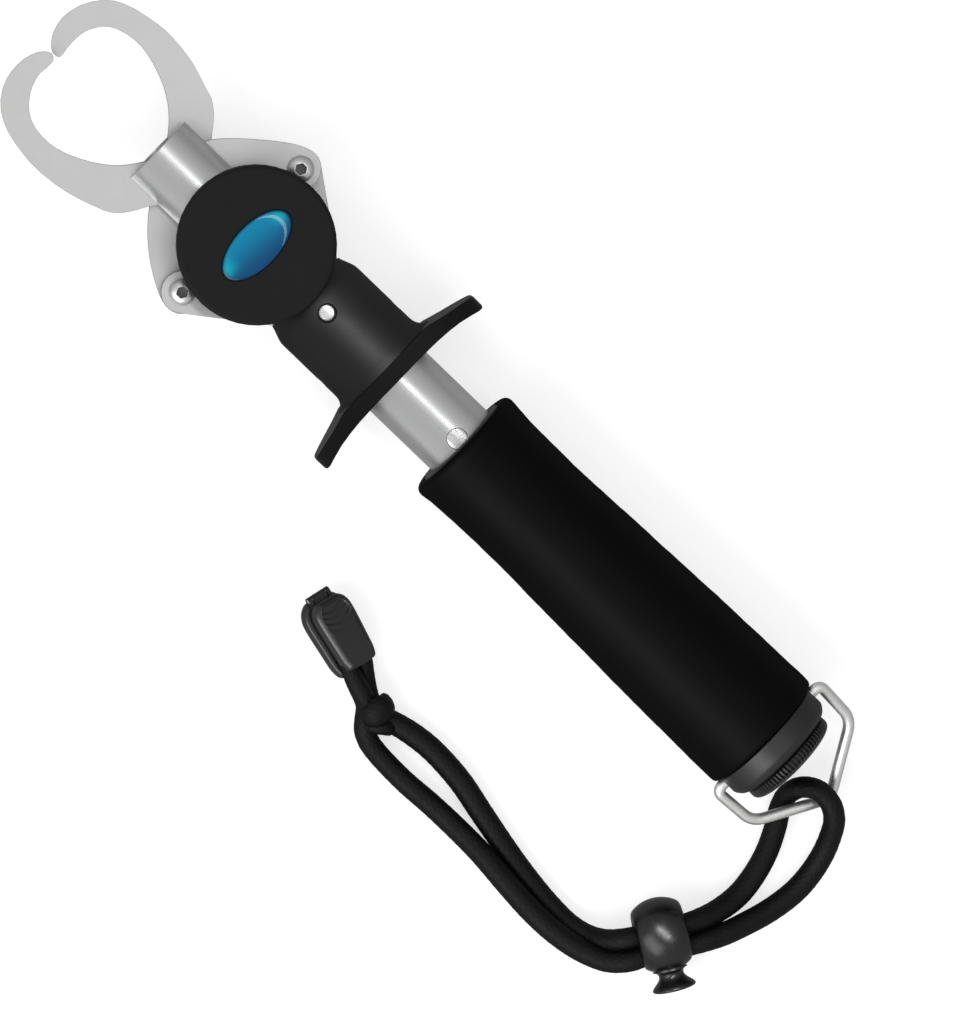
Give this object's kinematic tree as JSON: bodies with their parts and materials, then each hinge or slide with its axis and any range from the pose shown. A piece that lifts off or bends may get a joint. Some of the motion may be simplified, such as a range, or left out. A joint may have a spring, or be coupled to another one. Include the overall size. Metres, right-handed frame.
{
  "type": "fishing lip grip",
  "caption": "Hand-held fishing lip grip: hook jaws opened by a pull-back trigger on a sliding spring-scale barrel, foam handle, wire bail and cord lanyard with lock and clip.",
  "frame": {"origin": "centre of the rear cover's flat outer face, which the head rests on", "axes": "+X along the tool towards the handle end (jaws towards -X), +Z out of the front cover, lanyard on the -Y side"},
  "size_m": [0.2721, 0.0979, 0.0328],
  "materials": {
    "tube_steel": "polished, fine lengthwise brushing",
    "plate_steel": "satin rolled stainless plate, dark cut edges",
    "spring_steel": "drawn wire, plain",
    "satin_black_metal": "satin black anodised look",
    "knob_black": "satin black, ribbed rim",
    "cover_black": "fine matte texture",
    "screw_black": "black oxide",
    "badge_blue": "clear domed enamel over a plain blue shade",
    "foam": "closed-cell foam, fine open pores",
    "sleeve_plastic": "moulded, plain",
    "grey_plastic": "moulded, slightly satin",
    "clip_plastic": "moulded, slightly satin",
    "gloss_black_plastic": "glossy moulded",
    "cord": "round braided polyester cord"
  },
  "bodies": {
    "handle": {"handle_sleeve": "sleeve_plastic", "mouth_bush": "grey_plastic", "foam_grip": "foam", "end_collar": "satin_black_metal"},
    "knob": {"zero_knob": "knob_black", "scale_rod": "spring_steel", "rod_nut": "spring_steel", "rod_washer": "spring_steel", "scale_spring": "spring_steel"},
    "barrel": {"barrel_tube": "tube_steel", "tube_end_bush": "grey_plastic", "spring_plug": "spring_steel", "plug_rivet": "tube_steel", "link_anchor_pin": "tube_steel", "trigger_spring": "spring_steel"},
    "trigger": {"trigger_sleeve": "satin_black_metal", "finger_flange": "satin_black_metal", "front_cover": "cover_black", "rear_cover": "cover_black", "cover_badge": "badge_blue", "front_cover_screw_1": "screw_black", "front_cover_screw_2": "screw_black", "rear_cover_screw_1": "screw_black", "rear_cover_screw_2": "screw_black", "jaw_pivot_pin": "tube_steel", "trigger_plunger": "grey_plastic", "plunger_pin": "tube_steel"},
    "upper_jaw": {"jaw_a": "plate_steel", "jaw_a_screw": "tube_steel", "jaw_a_nut": "tube_steel"},
    "lower_jaw": {"jaw_b": "plate_steel", "jaw_b_screw": "tube_steel", "jaw_b_nut": "tube_steel"},
    "upper_link": {"link_a": "plate_steel"},
    "lower_link": {"link_b": "plate_steel"},
    "bail": {"bail_wire": "tube_steel"},
    "lanyard": {"wrist_cord": "cord", "clip_base": "clip_plastic", "clip_hinge_pin": "tube_steel"},
    "clip_cover": {"clip_lid": "clip_plastic"},
    "cord_lock": {"lock_body": "gloss_black_plastic", "lock_spring": "spring_steel"},
    "lock_plunger": {"lock_button": "gloss_black_plastic"}
  },
  "joints": [
    {"name": "weigh_slide", "type": "slide", "parent": "handle", "child": "barrel", "axis": [-1, 0, 0], "range_m": [0, 0.036], "deforming": ["scale_spring"]},
    {"name": "knob_turn", "type": "hinge", "parent": "handle", "child": "knob", "pos_m": [0.177, 0, 0.0136], "axis": [1, 0, 0], "range_deg": [-180, 180]},
    {"name": "trigger_slide", "type": "slide", "parent": "barrel", "child": "trigger", "axis": [1, 0, 0], "range_m": [0, 0.009], "deforming": ["trigger_spring"]},
    {"name": "upper_jaw_swing", "type": "hinge", "parent": "trigger", "child": "upper_jaw", "pos_m": [-0.014, 0, 0.0136], "axis": [0, 0, 1], "range_deg": [0, 19.7]},
    {"name": "lower_jaw_swing", "type": "hinge", "parent": "trigger", "child": "lower_jaw", "pos_m": [-0.014, 0, 0.0136], "axis": [0, 0, 1], "range_deg": [-19.7, 0]},
    {"name": "upper_link_swing", "type": "hinge", "parent": "barrel", "child": "upper_link", "pos_m": [0.0229, 0, 0.0136], "axis": [0, 0, 1], "range_deg": [-4.8, 0]},
    {"name": "lower_link_swing", "type": "hinge", "parent": "barrel", "child": "lower_link", "pos_m": [0.0229, 0, 0.0136], "axis": [0, 0, 1], "range_deg": [0, 4.8]},
    {"name": "bail_swing", "type": "hinge", "parent": "handle", "child": "bail", "pos_m": [0.1694, 0, 0.0136], "axis": [0, 1, 0], "range_deg": [-85, 38]},
    {"name": "lanyard_swing", "type": "hinge", "parent": "bail", "child": "lanyard", "pos_m": [0.18889, 0, 0.00451], "axis": [0, 1, 0], "range_deg": [-9, 5]},
    {"name": "lock_slide", "type": "slide", "parent": "lanyard", "child": "cord_lock", "axis": [0.5299, 0.848, 0], "range_m": [-0.002, 0.002]},
    {"name": "lock_button_press", "type": "slide", "parent": "cord_lock", "child": "lock_plunger", "axis": [-0.848, 0.5299, 0], "range_m": [0, 0.0015], "deforming": ["lock_spring"]},
    {"name": "clip_lid_hinge", "type": "hinge", "parent": "lanyard", "child": "clip_cover", "pos_m": [0.06945, -0.04992, 0.00375], "axis": [-0.2529, -0.8703, 0.4226], "range_deg": [0, 70]}
  ],
  "couplings": [
    {"joint": "upper_jaw_swing", "follows": "trigger_slide", "rad_per_m": 38.1},
    {"joint": "lower_jaw_swing", "follows": "trigger_slide", "rad_per_m": -38.1},
    {"joint": "upper_link_swing", "follows": "trigger_slide", "rad_per_m": -9.23},
    {"joint": "lower_link_swing", "follows": "trigger_slide", "rad_per_m": 9.23}
  ]
}
